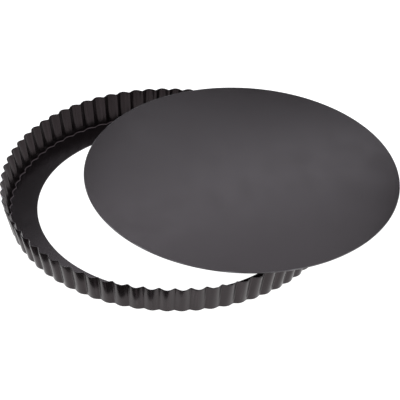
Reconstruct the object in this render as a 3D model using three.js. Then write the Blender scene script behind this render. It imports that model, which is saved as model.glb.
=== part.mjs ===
// Loose-bottom fluted tin for tarts and quiches: a ring stamped from one sheet, with a fluted wall and a
// flat ledge turned inwards, and a plain round base that drops into it and rests on the ledge.
// The base is shown lifted out, lying across the ring's rim. Millimetres, +Z up.
import * as THREE from 'three';

// Ring
const RIM_DIAMETER = 280; // across opposite lobes, outside, at the rim
const FOOT_DIAMETER = 267.6; // across opposite lobes, outside, where wall and ledge would meet in a corner
const OPENING_DIAMETER = 220.4; // the round hole inside the ledge
const WALL_HEIGHT = 26.2;
const RING_SHEET = 0.6;
const BEND_RADIUS = 1; // inside the bend between ledge and wall

// Flutes of the wall
const FLUTE_COUNT = 72;
const FLUTE_DEPTH_RIM = 2.8; // from a lobe's crown in to the crease beside it
const FLUTE_DEPTH_FOOT = 1.6;

// Loose base
const BASE_SHEET = 0.7;
const BASE_EDGE_BREAK = 0.15; // chamfer of the deburred edge
const BASE_CLEARANCE = 0.6; // between the base, when it is seated, and the start of the ring's bend
const BASE_SHIFT = 58.9; // how far the base lies to one side of the ring's axis
const REST_GAP = 0.3; // between the rim and the base lying on it

// Facets
const STEPS_PER_FLUTE = 8;
const STEPS_PER_HALF_BEND = 1;
const BASE_STEPS = 144;

const COATED_STEEL = { color: '#3c3b3d', roughness: 0.48, metalness: 0.15 };

// Places across a flute
const CREASE = 0;
const CROWN = 0.5;

const QUARTER_TURN = Math.PI / 2;
const FULL_TURN = 2 * Math.PI;
const rimRadius = RIM_DIAMETER / 2;
const footRadius = FOOT_DIAMETER / 2;
const openingRadius = OPENING_DIAMETER / 2;

// Section of the sheet at one place in a flute, as radius and height: along the ledge's underside, round the
// bend, up the outside, over the rim and back down the inside. `turn` runs from 0 to 1 across a flute. Each
// lobe is half a sine wave, so broad round lobes, drawn in by nothing at the crown, meet in narrow creases.
function ringSection(turn) {
  const drawnIn = 1 - Math.sin(Math.PI * turn);
  const rim = rimRadius - FLUTE_DEPTH_RIM * drawnIn;
  const foot = footRadius - FLUTE_DEPTH_FOOT * drawnIn;

  // The wall leans outwards by the flare, so the bend turns the sheet through the rest of a quarter turn.
  const flare = Math.atan2(rim - foot, WALL_HEIGHT);
  const bendOuterRadius = BEND_RADIUS + RING_SHEET;
  const bendCentre = foot - bendOuterRadius * Math.tan((QUARTER_TURN - flare) / 2);

  // Where the rim's outline slants across the radius, the sheet takes up more of the radius.
  const slant = (FLUTE_DEPTH_RIM * FLUTE_COUNT * Math.cos(Math.PI * turn)) / RIM_DIAMETER;
  const rimSheet = (RING_SHEET * Math.hypot(1, slant)) / Math.cos(flare);

  const section = new THREE.Path();
  section.moveTo(openingRadius, 0);
  section.lineTo(bendCentre, 0);
  section.absarc(bendCentre, bendOuterRadius, bendOuterRadius, -QUARTER_TURN, -flare, false);
  section.lineTo(rim, WALL_HEIGHT);
  section.lineTo(rim - rimSheet, WALL_HEIGHT);
  section.absarc(bendCentre, bendOuterRadius, BEND_RADIUS, -flare, -QUARTER_TURN, true);
  section.lineTo(openingRadius, RING_SHEET);
  section.closePath();
  return { points: section.getPoints(STEPS_PER_HALF_BEND), ledgeFlatRadius: bendCentre };
}

// A crown's section is revolved, and each column of points then takes the section of its place in the flute.
function flutedRing() {
  const columns = FLUTE_COUNT * STEPS_PER_FLUTE;
  const ring = new THREE.LatheGeometry(ringSection(CROWN).points, columns, QUARTER_TURN);
  const position = ring.getAttribute('position');
  for (let column = 0; column <= columns; column += 1) {
    const { points } = ringSection((column % STEPS_PER_FLUTE) / STEPS_PER_FLUTE);
    const angle = ((column % columns) / columns) * FULL_TURN;
    points.forEach(({ x: radius, y: height }, row) => {
      const vertex = column * points.length + row;
      position.setXYZ(vertex, radius * Math.cos(angle), height, -radius * Math.sin(angle));
    });
  }
  return ring.rotateX(QUARTER_TURN);
}

// The seated base lies inside the flat of the ledge, which is narrowest where the creases come in.
const baseRadius = ringSection(CREASE).ledgeFlatRadius - BASE_CLEARANCE;

function looseBase() {
  const section = [
    new THREE.Vector2(0, 0),
    new THREE.Vector2(baseRadius - BASE_EDGE_BREAK, 0),
    new THREE.Vector2(baseRadius, BASE_EDGE_BREAK),
    new THREE.Vector2(baseRadius, BASE_SHEET - BASE_EDGE_BREAK),
    new THREE.Vector2(baseRadius - BASE_EDGE_BREAK, BASE_SHEET),
    new THREE.Vector2(0, BASE_SHEET),
  ];
  return new THREE.LatheGeometry(section, BASE_STEPS).rotateX(QUARTER_TURN);
}

function piece(name, geometry) {
  const mesh = new THREE.Mesh(geometry, new THREE.MeshStandardMaterial(COATED_STEEL));
  mesh.name = name;
  return mesh;
}

const ring = piece('fluted_ring', flutedRing());
const base = piece('loose_base', looseBase());
base.position.set(BASE_SHIFT, 0, WALL_HEIGHT + REST_GAP);

const tin = new THREE.Group();
tin.add(ring, base);

// The origin is the middle of the tin's footprint, on the surface that it stands on.
const middle = new THREE.Box3().setFromObject(tin).getCenter(new THREE.Vector3());
tin.position.set(-middle.x, -middle.y, 0);

export default tin;
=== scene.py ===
"""Fluted tart tin with a loose base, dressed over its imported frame: ring, base and studio stage.

Metres, +Z up.
"""

import math

import bpy
import numpy as np
from bpy.props import FloatProperty, FloatVectorProperty, IntProperty, PointerProperty
from mathutils import Matrix, Vector


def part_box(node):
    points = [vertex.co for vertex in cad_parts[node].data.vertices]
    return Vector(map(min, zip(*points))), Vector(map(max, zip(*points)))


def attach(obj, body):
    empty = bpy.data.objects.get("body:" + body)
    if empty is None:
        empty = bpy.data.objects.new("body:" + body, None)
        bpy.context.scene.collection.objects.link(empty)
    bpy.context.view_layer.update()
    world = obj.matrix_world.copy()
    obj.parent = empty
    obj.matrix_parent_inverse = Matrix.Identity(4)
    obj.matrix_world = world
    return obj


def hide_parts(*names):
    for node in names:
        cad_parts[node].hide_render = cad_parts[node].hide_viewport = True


bl_info = {
    "name": "Fluted Tart Tin",
    "version": (1, 0, 0),
    "blender": (4, 5, 0),
    "location": "3D View > Sidebar > Tart Tin",
    "description": "Builds a loose-bottom fluted tart tin and a studio stage for it",
    "category": "Add Mesh",
}

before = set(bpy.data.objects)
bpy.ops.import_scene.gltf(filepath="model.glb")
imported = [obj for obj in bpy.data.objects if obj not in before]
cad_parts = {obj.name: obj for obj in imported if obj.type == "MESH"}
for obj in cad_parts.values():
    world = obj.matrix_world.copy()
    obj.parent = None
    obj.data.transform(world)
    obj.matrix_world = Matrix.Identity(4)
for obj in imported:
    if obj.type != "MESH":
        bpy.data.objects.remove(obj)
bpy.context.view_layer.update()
RING_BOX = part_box("fluted_ring")
BASE_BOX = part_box("loose_base")
BOX_SLACK = 0.00002  # how far rounding may take a piece past its CAD node's box

# How far the film is worn off a cut edge
RING_EDGE_WEAR = 0.5
BASE_EDGE_WEAR = 1.0

# Patterns of the coated sheet
FILM_PATCH = 0.018  # the sprayed film's thickness wanders over this length
ROUGHNESS_SPREAD = 0.025  # how much smoother or rougher the film is where it is thick or thin
PEEL_WIDTH = 0.0014  # orange peel is about 0.6 mm across; drawn coarser, or the render would not show it
PEEL_DEPTH = 0.000006
SWELL_WIDTH = 0.09  # the sheet is never quite flat, and swells and dips over this length
SWELL_DEPTH = 0.00006
STREAK_SPACING = 0.0015  # streaks are about 0.5 mm apart; drawn coarser, or the render would not show them
STREAK_LENGTH = 0.05
STREAK_DEPTH = 0.000025
STREAK_START, STREAK_FULL = 0.002, 0.006  # heights between which the streaks come in, above the bend
FILM_IOR = 1.38  # of a baked fluoropolymer film

MIX_FIRST, MIX_SECOND, MIX_RESULT = 6, 7, 2  # a Mix node's sockets for colours, whose names aren't unique


def linear(hex_colour):
    """Linear red, green and blue of an sRGB colour written as #rrggbb."""
    srgb = np.array([int(hex_colour[i : i + 2], 16) for i in (1, 3, 5)]) / 255
    return tuple(np.where(srgb <= 0.04045, srgb / 12.92, ((srgb + 0.055) / 1.055) ** 2.4).tolist())


class FlutedRingSettings(bpy.types.PropertyGroup):
    """Sizes of the ring's sheet."""

    rim_diameter: FloatProperty(
        name="Rim", description="Across opposite lobes, outside, at the rim", default=0.280, unit="LENGTH"
    )
    foot_diameter: FloatProperty(
        name="Foot",
        description="Across opposite lobes, outside, where wall and ledge would meet in a corner",
        default=0.2676,
        unit="LENGTH",
    )
    opening_diameter: FloatProperty(
        name="Opening", description="The round hole inside the ledge", default=0.2204, unit="LENGTH"
    )
    height: FloatProperty(
        name="Height",
        description="From the ledge's underside to the rim",
        default=RING_BOX[1].z,
        unit="LENGTH",
    )
    sheet: FloatProperty(name="Sheet", description="Thickness of the sheet", default=0.0006, unit="LENGTH")
    bend_radius: FloatProperty(
        name="Bend", description="Inside radius of the bend at the foot", default=0.0010, unit="LENGTH"
    )
    flutes: IntProperty(name="Flutes", description="How many lobes go round the wall", default=72, min=3)
    depth_rim: FloatProperty(
        name="Depth at rim",
        description="From a lobe's crown in to its crease",
        default=0.0028,
        unit="LENGTH",
    )
    depth_foot: FloatProperty(
        name="Depth at foot",
        description="From a lobe's crown in to its crease",
        default=0.0016,
        unit="LENGTH",
    )
    crease_softness: FloatProperty(
        name="Crease softness",
        description="0 is a knife crease, 1 is nearly a wave",
        default=0.18,
        min=0.02,
        max=1,
        subtype="FACTOR",
    )


class LooseBaseSettings(bpy.types.PropertyGroup):
    """Sizes of the loose base."""

    diameter: FloatProperty(
        name="Diameter",
        description="Across the disc",
        default=BASE_BOX[1].x - BASE_BOX[0].x,
        unit="LENGTH",
    )
    sheet: FloatProperty(
        name="Sheet",
        description="Thickness of the disc",
        default=BASE_BOX[1].z - BASE_BOX[0].z,
        unit="LENGTH",
    )
    edge_radius: FloatProperty(
        name="Edge radius", description="Rounding of the deburred edge", default=0.00034, unit="LENGTH"
    )


class CoatingSettings(bpy.types.PropertyGroup):
    """Look of the coated steel."""

    colour: FloatVectorProperty(
        name="Coating",
        description="Body colour under the gloss",
        default=linear("#100d0e"),
        subtype="COLOR",
    )
    thin_colour: FloatVectorProperty(
        name="Thin coating",
        description="Where the sprayed film lies thinner",
        default=linear("#141011"),
        subtype="COLOR",
    )
    # Pale colour of the rubbed streaks, and of the painted highlight along the inside of the bend
    rub_and_highlight_colour: FloatVectorProperty(
        name="Rubbed coating",
        description="Along the wall's streaks and foot",
        default=linear("#4a4245"),
        subtype="COLOR",
    )
    steel: FloatVectorProperty(
        name="Steel",
        description="The sheet where a cut edge shows it",
        default=linear("#a8a8aa"),
        subtype="COLOR",
    )
    gloss_tint: FloatVectorProperty(
        name="Gloss tint",
        description="Warm cast of the film's reflections",
        default=linear("#ffebf0"),
        subtype="COLOR",
    )
    roughness: FloatProperty(
        name="Roughness", description="Of the satin film", default=0.22, min=0, max=1, subtype="FACTOR"
    )


class StageSettings(bpy.types.PropertyGroup):
    """Floor, lights and camera."""

    floor_colour: FloatVectorProperty(
        name="Floor",
        description="Matt surface of the light table",
        default=linear("#8a8a8a"),
        subtype="COLOR",
    )
    floor_glow: FloatProperty(
        name="Floor glow", description="Radiance of the light from under the floor", default=1.11, min=0
    )
    # Dark cards that stand in for shade on the floor, seen only in reflections: painted shade
    shade_card_colour: FloatVectorProperty(
        name="Flag cards",
        description="Felt of the cards beside the ring",
        default=linear("#191919"),
        subtype="COLOR",
    )
    room_glow: FloatProperty(name="Room", description="Radiance of the pale room", default=0.6, min=0)
    backdrop_glow: FloatProperty(
        name="Backdrop", description="Radiance of the dark cloth behind the softboxes", default=0.06, min=0
    )
    backdrop_way: FloatVectorProperty(
        name="Backdrop direction",
        description="From the tin to the cloth",
        default=(0.2, 0.77, 0.6),
        subtype="DIRECTION",
    )
    softbox_colour: FloatVectorProperty(
        name="Softbox colour",
        description="Slightly cool light",
        default=linear("#f5f8ff"),
        subtype="COLOR",
    )
    back_softbox_power: FloatProperty(
        name="Back softbox",
        description="Its reflection gives the disc its sheen",
        default=1.98,
        unit="POWER",
    )
    back_strip_power: FloatProperty(
        name="Back strip", description="Narrow light across the back softbox", default=0.46, unit="POWER"
    )
    top_softbox_power: FloatProperty(
        name="Top softbox", description="Wide light straight above the tin", default=2.4, unit="POWER"
    )
    camera_azimuth: FloatProperty(
        name="Azimuth",
        description="From straight in front",
        default=math.radians(-13.291),
        subtype="ANGLE",
    )
    camera_elevation: FloatProperty(
        name="Elevation", description="Above the horizon", default=math.radians(36.769), subtype="ANGLE"
    )
    camera_distance: FloatProperty(
        name="Distance", description="From the camera to its aim", default=1.2332, unit="LENGTH"
    )
    camera_aim: FloatVectorProperty(
        name="Aim",
        description="The point in mid-picture",
        default=(0.00059, 0.00375, 0),
        subtype="TRANSLATION",
    )
    camera_roll: FloatProperty(
        name="Roll", description="About the line of sight", default=math.radians(2.270), subtype="ANGLE"
    )
    camera_lens: FloatProperty(name="Lens", description="Focal length", default=133.0, min=1, unit="CAMERA")


class TartTinSettings(bpy.types.PropertyGroup):
    """Everything that a user would change on the tin and its stage."""

    ring: PointerProperty(type=FlutedRingSettings)
    base: PointerProperty(type=LooseBaseSettings)
    coating: PointerProperty(type=CoatingSettings)
    stage: PointerProperty(type=StageSettings)


def flute_lobe(turn, softness):
    """How far out a lobe stands at a turn from 0 to 1 across it: 0 in the crease, 1 on the crown.

    |sin(pi turn)| with its sharp foot rounded off, as the root of sin squared plus softness squared, brought
    back to run from 0 to 1.
    """
    return (np.hypot(np.sin(np.pi * turn), softness) - softness) / (math.hypot(1, softness) - softness)


def ring_middle(ring, steps_per_flute=24, gather=0.55):
    """Middle surface of the ring's sheet, as rows up the section by columns round it.

    Gives the points, the directions up the sheet, and for each row how near it is to the middle of the bend.

    Round the axis the angle is (flute + turn) / flutes of a full turn, with the turns gathered towards the
    creases by turn = s - gather sin(2 pi s) / 2 pi. At each angle the foot and the rim are drawn in by their
    own depth times 1 - lobe, and the section is a straight ledge, an arc that turns it up and a straight
    wall. A row's nearness to the middle of the bend is the sine of a half turn over the bend.
    """
    s = np.arange(steps_per_flute) / steps_per_flute
    turn = s - gather * np.sin(2 * np.pi * s) / (2 * np.pi)
    angle = ((np.arange(ring.flutes)[:, None] + turn) * 2 * np.pi / ring.flutes).ravel()
    drawn_in = 1 - np.tile(flute_lobe(turn, ring.crease_softness), ring.flutes)

    rim = ring.rim_diameter / 2 - ring.depth_rim * drawn_in
    foot = ring.foot_diameter / 2 - ring.depth_foot * drawn_in
    half = ring.sheet / 2
    flare = np.arctan2(rim - foot, ring.height)
    rise = np.pi / 2 - flare
    outer_bend = ring.bend_radius + ring.sheet
    middle_bend = ring.bend_radius + half
    bend_centre = foot - outer_bend * np.tan(rise / 2)

    along_ledge = np.array([0, 0.015, 0.3, 0.7, 0.985])[:, None]
    opening = ring.opening_diameter / 2 + half
    ledge_radius = opening + (bend_centre - opening) * along_ledge
    ledge_height = np.full_like(ledge_radius, half)
    ledge_slope = np.zeros_like(ledge_radius)

    along_bend = np.linspace(0, 1, 8)[:, None]
    bend_slope = along_bend * rise
    bend_radius = bend_centre + middle_bend * np.sin(bend_slope)
    bend_height = outer_bend - middle_bend * np.cos(bend_slope)

    up_wall = np.array([0.02, 0.2, 0.4, 0.6, 0.8, 0.97, 1])[:, None]
    top_radius = rim - half / np.cos(flare) - half * np.tan(flare)
    top_height = ring.height - half
    wall_radius = bend_radius[-1] + (top_radius - bend_radius[-1]) * up_wall
    wall_height = bend_height[-1] + (top_height - bend_height[-1]) * up_wall
    wall_slope = np.broadcast_to(rise, wall_radius.shape)

    radius = np.concatenate([ledge_radius, bend_radius, wall_radius])
    height = np.concatenate([ledge_height, bend_height, wall_height])
    slope = np.concatenate([ledge_slope, bend_slope, wall_slope])
    points = np.stack([radius * np.cos(angle), radius * np.sin(angle), height], axis=-1)
    upward = np.stack([np.cos(slope) * np.cos(angle), np.cos(slope) * np.sin(angle), np.sin(slope)], axis=-1)
    over_bend = np.concatenate([np.zeros_like(along_ledge), along_bend, np.zeros_like(up_wall)])
    return points, upward, np.sin(np.pi * over_bend).ravel()


def sheet_skin(middle, upward, bend, thickness, edge_steps=6):
    """Closed skin of an even sheet round a middle surface, and two marks for each of its rows.

    A point is the middle plus half the thickness along a direction. That is the normal on the outer face,
    minus the normal on the inner face, and at both ends a half circle from one to the other through the
    sheet's own direction, so that the cut edges are round.

    The marks say how worn a row is as a cut edge, and how near it is to the middle of the bend's inner face,
    where a painted highlight goes.
    """
    across = np.roll(middle, -1, axis=1) - np.roll(middle, 1, axis=1)
    normal = np.cross(across, upward)
    normal /= np.linalg.norm(normal, axis=-1, keepdims=True)
    half_turn = np.linspace(0, np.pi, edge_steps + 1)[1:-1, None, None]
    half = thickness / 2
    outer = middle + half * normal
    rim = middle[-1] + half * (np.cos(half_turn) * normal[-1] + np.sin(half_turn) * upward[-1])
    inner = (middle - half * normal)[::-1]
    opening = middle[0] - half * (np.cos(half_turn) * normal[0] + np.sin(half_turn) * upward[0])
    points = np.concatenate([outer, rim, inner, opening])
    edge_wear = np.repeat(
        [0, RING_EDGE_WEAR, 0, RING_EDGE_WEAR], [len(outer), len(rim), len(inner), len(opening)]
    )
    # Rows near the middle of the bend's inner face carry the painted highlight
    bend_highlight_rows = np.concatenate([np.zeros(len(outer) + len(rim)), bend[::-1], np.zeros(len(opening))])
    return points, edge_wear, bend_highlight_rows


def disc_skin(base, columns=360, edge_steps=5):
    """Skin of the flat disc, as rows out and back by columns round it, and each row's wear as a cut edge.

    The profile goes from near the middle of the top out to the edge, round it by two quarter circles of the
    edge's radius, and back below to near the middle. It is carried round the axis.
    """
    flat = base.diameter / 2 - base.edge_radius
    out = np.array([0.02, 0.25, 0.5, 0.75, 0.93, 0.985, 0.9955]) * flat
    quarter = np.linspace(0, np.pi / 2, edge_steps)
    edge_radius = flat + base.edge_radius * np.sin(quarter)
    edge_drop = base.edge_radius * (1 - np.cos(quarter))
    radius = np.concatenate([out, edge_radius, edge_radius[::-1], out[::-1]])
    height = np.concatenate(
        [np.full_like(out, base.sheet), base.sheet - edge_drop, edge_drop[::-1], np.zeros_like(out)]
    )
    edge_wear = np.repeat([0, BASE_EDGE_WEAR, 0], [len(out), 2 * edge_steps, len(out)])
    angle = np.linspace(0, 2 * np.pi, columns, endpoint=False)
    x, y = radius[:, None] * np.cos(angle), radius[:, None] * np.sin(angle)
    return np.stack(np.broadcast_arrays(x, y, height[:, None]), axis=-1), edge_wear


def grid_quads(rows, columns, closed_rows):
    """Corners of the four-sided faces of a grid, closed round its columns, and round its rows if asked."""
    index = np.arange(rows * columns).reshape(rows, columns)
    above = np.roll(index, -1, axis=0)
    quads = np.stack([index, np.roll(index, -1, axis=1), np.roll(above, -1, axis=1), above], axis=-1)
    return (quads if closed_rows else quads[:-1]).reshape(-1, 4)


def disc_faces(rows, columns):
    """Faces of the disc's grid, and a fan of triangles to the pole above and to the one below it."""
    top, bottom = rows * columns, rows * columns + 1
    first = np.arange(columns)
    last = first + (rows - 1) * columns
    quads = grid_quads(rows, columns, False)[:, ::-1]
    top_fan = np.stack([np.full(columns, top), first, np.roll(first, -1)], axis=-1)
    bottom_fan = np.stack([np.full(columns, bottom), np.roll(last, -1), last], axis=-1)
    return [*quads.tolist(), *top_fan.tolist(), *bottom_fan.tolist()]


def make_piece(name, points, faces, marks, body):
    """Mesh object of these points, faces and marks, which stands for the CAD node and rides on the body."""
    mesh = bpy.data.meshes.new(name)
    mesh.from_pydata(points, [], faces)
    for mark, values in marks.items():
        mesh.attributes.new(mark, "FLOAT", "POINT").data.foreach_set("value", values.astype(np.float32))
    mesh.shade_smooth()
    mesh.validate()
    piece = bpy.data.objects.new(name + "_skin", mesh)
    bpy.context.scene.collection.objects.link(piece)
    low, high = (np.array(corner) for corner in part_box(name))
    lowest, highest = points.min(axis=0), points.max(axis=0)
    if (lowest < low - BOX_SLACK).any() or (highest > high + BOX_SLACK).any():
        raise RuntimeError(f"{piece.name} reaches outside the box of {name}: {lowest} to {highest}")
    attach(piece, body)
    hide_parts(name)
    return piece


def add_node(tree, kind, inputs=None, **settings):
    """Adds a node with these settings. Each input gets a value, or a link where it is given an output."""
    node = tree.nodes.new(kind)
    for key, value in settings.items():
        setattr(node, key, value)
    for key, value in (inputs or {}).items():
        if isinstance(value, bpy.types.NodeSocket):
            tree.links.new(value, node.inputs[key])
        else:
            node.inputs[key].default_value = value
    return node


def drawing_streaks(tree):
    """Fine upright streaks, which forming the flutes draws into the wall.

    There are none on the ledge and the bend, and none on the base, where the mark that they follow is missing
    and reads as zero.
    """
    drawn = add_node(tree, "ShaderNodeAttribute", attribute_name="drawn").outputs["Vector"]
    stretched = add_node(
        tree,
        "ShaderNodeVectorMath",
        {0: drawn, 1: (1 / STREAK_SPACING, 1 / STREAK_SPACING, 1 / STREAK_LENGTH)},
        operation="MULTIPLY",
    ).outputs["Vector"]
    streak = add_node(
        tree, "ShaderNodeTexNoise", {"Vector": stretched, "Scale": 1.0, "Detail": 1.0}
    ).outputs["Fac"]
    height = add_node(tree, "ShaderNodeSeparateXYZ", {"Vector": drawn}).outputs["Z"]
    on_wall = add_node(
        tree, "ShaderNodeMapRange", {"Value": height, "From Min": STREAK_START, "From Max": STREAK_FULL}
    ).outputs["Result"]
    return add_node(tree, "ShaderNodeMath", {0: streak, 1: on_wall}, operation="MULTIPLY").outputs["Value"]


def film_colour_rubbed_and_highlit(tree, coating, film, streaks):
    """Colour of the film: a little paler where it is thin, and paler still where it is rubbed, and along a
    painted highlight.

    The stronger streaks are rubbed. Along the inside of the bend the same pale colour is a painted highlight,
    standing in for the light that the bend catches.
    """
    film_colour = add_node(
        tree,
        "ShaderNodeMix",
        {"Factor": film, MIX_FIRST: (*coating.colour, 1), MIX_SECOND: (*coating.thin_colour, 1)},
        data_type="RGBA",
    ).outputs[MIX_RESULT]
    streaked = add_node(
        tree,
        "ShaderNodeMapRange",
        {"Value": streaks, "From Min": 0.5, "From Max": 0.9, "To Max": 0.4},
    ).outputs["Result"]
    # Painted highlight along the inside of the bend, where the bend catches the light
    foot = add_node(tree, "ShaderNodeAttribute", attribute_name="painted_bend_highlight").outputs["Fac"]
    rub_and_highlight_mask = add_node(tree, "ShaderNodeMath", {0: streaked, 1: foot}, operation="MAXIMUM").outputs["Value"]
    return add_node(
        tree,
        "ShaderNodeMix",
        {"Factor": rub_and_highlight_mask, MIX_FIRST: film_colour, MIX_SECOND: (*coating.rub_and_highlight_colour, 1)},
        data_type="RGBA",
    ).outputs[MIX_RESULT]


def sheet_relief(tree, place, streaks):
    """Normal of the swells and dips of the sheet, the wall's streaks and the film's orange peel."""
    swell = add_node(
        tree, "ShaderNodeTexNoise", {"Vector": place, "Scale": 1 / SWELL_WIDTH, "Detail": 0.0}
    ).outputs["Fac"]
    peel = add_node(
        tree, "ShaderNodeTexNoise", {"Vector": place, "Scale": 1 / PEEL_WIDTH, "Detail": 2.0}
    ).outputs["Fac"]
    swelling = add_node(
        tree, "ShaderNodeBump", {"Height": swell, "Distance": SWELL_DEPTH, "Strength": 1.0}
    ).outputs["Normal"]
    streaking = add_node(
        tree,
        "ShaderNodeBump",
        {"Height": streaks, "Distance": STREAK_DEPTH, "Strength": 1.0, "Normal": swelling},
    ).outputs["Normal"]
    return add_node(
        tree,
        "ShaderNodeBump",
        {"Height": peel, "Distance": PEEL_DEPTH, "Strength": 1.0, "Normal": streaking},
    ).outputs["Normal"]


def non_stick_coating(coating):
    """Sprayed and baked non-stick film on steel sheet.

    The eye sees a dark warm grey with a soft satin gloss, slightly uneven where the film is thinner, a fine
    orange peel from the spray, pale streaks up the wall where the film is rubbed, a painted highlight along
    the inside of its foot, and a bright line on cut edges, where it is worn through to the steel.
    """
    material = bpy.data.materials.get("non_stick_coating")
    if material:
        return material
    material = bpy.data.materials.new("non_stick_coating")
    material.use_nodes = True
    tree = material.node_tree
    tree.nodes.clear()
    place = add_node(tree, "ShaderNodeTexCoord").outputs["Object"]
    film = add_node(
        tree, "ShaderNodeTexNoise", {"Vector": place, "Scale": 1 / FILM_PATCH, "Detail": 3.0}
    ).outputs["Fac"]
    streaks = drawing_streaks(tree)

    # A cut edge shows its steel most where the film is thin, and nowhere all of it.
    edge = add_node(tree, "ShaderNodeAttribute", attribute_name="cut_edge").outputs["Fac"]
    worn = add_node(
        tree, "ShaderNodeMapRange", {"Value": film, "From Min": 0.3, "From Max": 0.7, "To Max": 0.6}
    ).outputs["Result"]
    bare = add_node(tree, "ShaderNodeMath", {0: edge, 1: worn}, operation="MULTIPLY").outputs["Value"]
    film_colour = film_colour_rubbed_and_highlit(tree, coating, film, streaks)
    colour = add_node(
        tree,
        "ShaderNodeMix",
        {"Factor": bare, MIX_FIRST: film_colour, MIX_SECOND: (*coating.steel, 1)},
        data_type="RGBA",
    ).outputs[MIX_RESULT]
    roughness = add_node(
        tree,
        "ShaderNodeMapRange",
        {
            "Value": film,
            "From Min": 0.25,
            "From Max": 0.75,
            "To Min": coating.roughness - ROUGHNESS_SPREAD,
            "To Max": coating.roughness + ROUGHNESS_SPREAD,
        },
    ).outputs["Result"]
    shader = add_node(
        tree,
        "ShaderNodeBsdfPrincipled",
        {
            "Base Color": colour,
            "Metallic": bare,
            "Roughness": roughness,
            "IOR": FILM_IOR,
            "Specular Tint": (*coating.gloss_tint, 1),
            "Normal": sheet_relief(tree, place, streaks),
        },
    )
    add_node(tree, "ShaderNodeOutputMaterial", {"Surface": shader.outputs["BSDF"]})
    return material


class TART_TIN_OT_fluted_ring(bpy.types.Operator):
    """Build the fluted ring over its CAD node"""

    bl_idname = "tart_tin.fluted_ring"
    bl_label = "Fluted ring"

    def execute(self, context):
        settings = context.scene.tart_tin
        skin, edge_wear, bend_highlight_rows = sheet_skin(*ring_middle(settings.ring), settings.ring.sheet)
        rows, columns = skin.shape[:2]
        axis = (RING_BOX[0] + RING_BOX[1]) / 2
        points = skin.reshape(-1, 3)
        # The streaks go straight up, so their pattern has every point at the rim's radius.
        outwards = points[:, :2] / np.linalg.norm(points[:, :2], axis=1, keepdims=True)
        drawn = np.column_stack([outwards * settings.ring.rim_diameter / 2, points[:, 2]])
        points = points + (axis.x, axis.y, RING_BOX[0].z)
        # The bend mark places a painted highlight along the inside of the bend
        marks = {"cut_edge": np.repeat(edge_wear, columns), "painted_bend_highlight": np.repeat(bend_highlight_rows, columns)}
        faces = grid_quads(rows, columns, True)
        piece = make_piece("fluted_ring", points, faces, marks, "ring")
        streaks = piece.data.attributes.new("drawn", "FLOAT_VECTOR", "POINT")
        streaks.data.foreach_set("vector", drawn.ravel().astype(np.float32))
        piece.data.materials.append(non_stick_coating(settings.coating))
        return {"FINISHED"}


class TART_TIN_OT_loose_base(bpy.types.Operator):
    """Build the loose base over its CAD node"""

    bl_idname = "tart_tin.loose_base"
    bl_label = "Loose base"

    def execute(self, context):
        settings = context.scene.tart_tin
        skin, edge_wear = disc_skin(settings.base)
        rows, columns = skin.shape[:2]
        axis = (BASE_BOX[0] + BASE_BOX[1]) / 2
        poles = [(0, 0, settings.base.sheet), (0, 0, 0)]
        points = np.concatenate([skin.reshape(-1, 3), poles]) + (axis.x, axis.y, BASE_BOX[0].z)
        marks = {"cut_edge": np.append(np.repeat(edge_wear, columns), [0, 0])}
        faces = disc_faces(rows, columns)
        piece = make_piece("loose_base", points, faces, marks, "base")
        piece.data.materials.append(non_stick_coating(settings.coating))
        return {"FINISHED"}


def link(scene, name, data):
    """Object of this name and data at the origin, linked to the scene."""
    thing = bpy.data.objects.new(name, data)
    scene.collection.objects.link(thing)
    return thing


def lay_floor(scene, stage):
    """Matt light table: a flat square just under the tin, lit from below so that it shows white."""
    half, drop = 3.0, -0.0002
    mesh = bpy.data.meshes.new("studio_floor")
    corners = [(-half, -half, drop), (half, -half, drop), (half, half, drop), (-half, half, drop)]
    mesh.from_pydata(corners, [], [(0, 1, 2, 3)])
    opal = bpy.data.materials.new("matt_opal_sheet")
    opal.use_nodes = True
    inputs = opal.node_tree.nodes["Principled BSDF"].inputs
    inputs["Base Color"].default_value = (*stage.floor_colour, 1)
    inputs["Roughness"].default_value = 0.9
    inputs["Emission Color"].default_value = (1, 1, 1, 1)
    inputs["Emission Strength"].default_value = stage.floor_glow
    mesh.materials.append(opal)
    link(scene, "studio_floor", mesh)


def lay_shade_cards(scene, stage):
    """Dark cards flat on the floor beside the ring: painted shade, standing in for shade on the floor, which
    darkens the lobes' tops that mirror it.

    Each is a rectangle from a near to a far distance from the ring's axis, at a bearing from +X in degrees,
    and has its own lift, since they overlap.
    """
    far = 0.34
    axis = (RING_BOX[0] + RING_BOX[1]) / 2
    corners = []
    for bearing, near, half_width, lift in ((-116, 0.1412, 0.16, 0.0002), (-155, 0.1455, 0.10, 0.0003)):
        turn = Matrix.Rotation(math.radians(bearing), 3, "Z")
        outline = ((near, -half_width), (far, -half_width), (far, half_width), (near, half_width))
        corners += [turn @ Vector((x, y, lift)) + Vector((axis.x, axis.y, 0)) for x, y in outline]
    mesh = bpy.data.meshes.new("painted_shade_cards")
    mesh.from_pydata(corners, [], [(0, 1, 2, 3), (4, 5, 6, 7)])
    shade_card = bpy.data.materials.new("painted_shade_card")
    shade_card.use_nodes = True
    inputs = shade_card.node_tree.nodes["Principled BSDF"].inputs
    inputs["Base Color"].default_value = (*stage.shade_card_colour, 1)
    inputs["Roughness"].default_value = 1.0
    mesh.materials.append(shade_card)
    cards = link(scene, "painted_shade_cards", mesh)
    # Painted shade: the cards show only in reflections, not to the camera, in shadows or in diffuse light
    cards.visible_camera = cards.visible_shadow = cards.visible_diffuse = False


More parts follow.
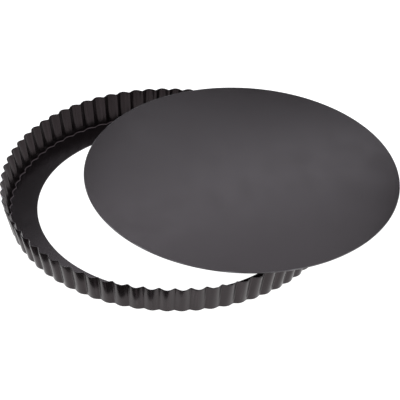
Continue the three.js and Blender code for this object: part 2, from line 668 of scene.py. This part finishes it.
def paint_room(scene, stage):
    """Pale room with a dark cloth hung behind the softboxes, which the camera sees as plain white.

    The radiance goes smoothly from the room's to the cloth's with the cosine of the angle between a direction
    and the way to the cloth.
    """
    cloth_full, cloth_end = math.radians(30), math.radians(53)
    white = (1, 1, 1, 1)
    world = bpy.data.worlds.new("studio_room")
    world.use_nodes = True
    tree = world.node_tree
    tree.nodes.clear()
    direction = add_node(tree, "ShaderNodeTexCoord").outputs["Generated"]
    towards_cloth = add_node(
        tree,
        "ShaderNodeVectorMath",
        {0: direction, 1: Vector(stage.backdrop_way).normalized()},
        operation="DOT_PRODUCT",
    ).outputs["Value"]
    radiance = add_node(
        tree,
        "ShaderNodeMapRange",
        {
            "Value": towards_cloth,
            "From Min": math.cos(cloth_end),
            "From Max": math.cos(cloth_full),
            "To Min": stage.room_glow,
            "To Max": stage.backdrop_glow,
        },
        interpolation_type="SMOOTHSTEP",
    ).outputs["Result"]
    room = add_node(tree, "ShaderNodeBackground", {"Color": white, "Strength": radiance})
    plain = add_node(tree, "ShaderNodeBackground", {"Color": white, "Strength": 1.0})
    seen = add_node(tree, "ShaderNodeLightPath").outputs["Is Camera Ray"]
    shown = add_node(
        tree,
        "ShaderNodeMixShader",
        {0: seen, 1: room.outputs["Background"], 2: plain.outputs["Background"]},
    )
    add_node(tree, "ShaderNodeOutputWorld", {"Surface": shown.outputs["Shader"]})
    scene.world = world


def hang_softboxes(scene, stage):
    """Soft lights that face down, each with its power, width and length, place, and turn in degrees."""
    for name, power, size, place, turn in (
        ("back_softbox", stage.back_softbox_power, (0.47, 0.765), (0.154, 0.583, 0.6), -25),
        ("back_strip", stage.back_strip_power, (0.96, 0.05), (0.262, 0.745, 0.599), 21.5),
        ("top_softbox", stage.top_softbox_power, (0.8, 0.6), (0.03, 0.04, 1.2), 0),
    ):
        light = bpy.data.lights.new(name, "AREA")
        light.shape = "RECTANGLE"
        light.size, light.size_y = size
        light.energy = power
        light.color = stage.softbox_colour
        lamp = link(scene, name, light)
        lamp.location = place
        lamp.rotation_euler.z = math.radians(turn)
        lamp.visible_camera = False


def set_camera(scene, stage):
    """Camera at its distance from the aim, along azimuth and elevation, rolled about its line of sight."""
    azimuth, elevation = stage.camera_azimuth, stage.camera_elevation
    level_out = math.cos(elevation)
    back = Vector((math.sin(azimuth) * level_out, -math.cos(azimuth) * level_out, math.sin(elevation)))
    right = Vector((0, 0, 1)).cross(back).normalized()
    level = Matrix((right, back.cross(right), back)).transposed().to_4x4()
    place = Vector(stage.camera_aim) + stage.camera_distance * back
    lens = bpy.data.cameras.new("camera")
    lens.sensor_width = 36.0
    lens.lens = stage.camera_lens
    camera = link(scene, "camera", lens)
    camera.matrix_world = Matrix.Translation(place) @ level @ Matrix.Rotation(stage.camera_roll, 4, "Z")
    scene.camera = camera


class TART_TIN_OT_stage(bpy.types.Operator):
    """Build the pale floor, the soft lights and the camera"""

    bl_idname = "tart_tin.stage"
    bl_label = "Studio stage"

    def execute(self, context):
        scene, stage = context.scene, context.scene.tart_tin.stage
        lay_floor(scene, stage)
        lay_shade_cards(scene, stage)
        paint_room(scene, stage)
        hang_softboxes(scene, stage)
        set_camera(scene, stage)
        scene.view_settings.view_transform = "Standard"
        return {"FINISHED"}


class TART_TIN_PT_sidebar(bpy.types.Panel):
    """Lists the tin's operators and settings"""

    bl_idname = "TART_TIN_PT_sidebar"
    bl_label = "Tart Tin"
    bl_space_type = "VIEW_3D"
    bl_region_type = "UI"
    bl_category = "Tart Tin"

    def draw(self, context):
        settings = context.scene.tart_tin
        for operator, group in (
            (TART_TIN_OT_fluted_ring, settings.ring),
            (TART_TIN_OT_loose_base, settings.base),
            (TART_TIN_OT_stage, settings.stage),
        ):
            box = self.layout.box()
            box.operator(operator.bl_idname)
            for name in group.__annotations__:
                box.prop(group, name)
        box = self.layout.box()
        for name in settings.coating.__annotations__:
            box.prop(settings.coating, name)


CLASSES = (
    FlutedRingSettings,
    LooseBaseSettings,
    CoatingSettings,
    StageSettings,
    TartTinSettings,
    TART_TIN_OT_fluted_ring,
    TART_TIN_OT_loose_base,
    TART_TIN_OT_stage,
    TART_TIN_PT_sidebar,
)


def register():
    for cls in CLASSES:
        bpy.utils.register_class(cls)
    bpy.types.Scene.tart_tin = PointerProperty(type=TartTinSettings)


def unregister():
    del bpy.types.Scene.tart_tin
    for cls in reversed(CLASSES):
        bpy.utils.unregister_class(cls)


def main():
    register()
    bpy.ops.tart_tin.fluted_ring()
    bpy.ops.tart_tin.loose_base()
    bpy.ops.tart_tin.stage()


if __name__ == "__main__":
    main()
